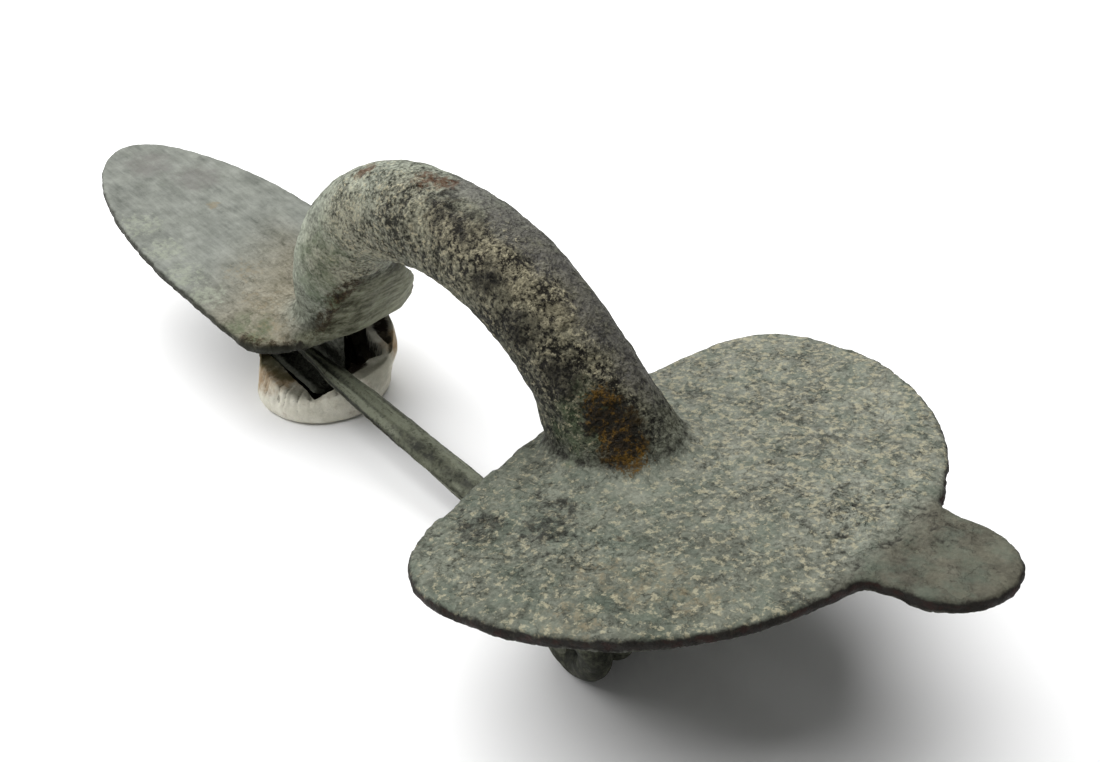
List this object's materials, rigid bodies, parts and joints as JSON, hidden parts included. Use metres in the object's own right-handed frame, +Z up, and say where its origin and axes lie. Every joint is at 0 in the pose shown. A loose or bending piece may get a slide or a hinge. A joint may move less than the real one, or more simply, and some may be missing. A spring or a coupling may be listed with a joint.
{
  "type": "bow brooch on a putty rest",
  "caption": "Old bronze bow brooch with a rounded knobbed head plate, thick arched bow, leaf-shaped foot, sprung pin and catch, its foot on a lump of putty.",
  "frame": {"origin": "on the ground, under the middle of the whole thing", "axes": "+X along the brooch towards the knob of the head plate, +Y across the plates, +Z up"},
  "size_m": [0.08, 0.0324, 0.0226],
  "materials": {
    "bronze": "matte patina",
    "pin_bronze": "matte patina",
    "putty": "matte"
  },
  "bodies": {
    "root": {"brooch": "bronze", "pin_and_spring": "pin_bronze", "spring_rod": "pin_bronze", "putty_rest": "putty"}
  },
  "joints": []
}
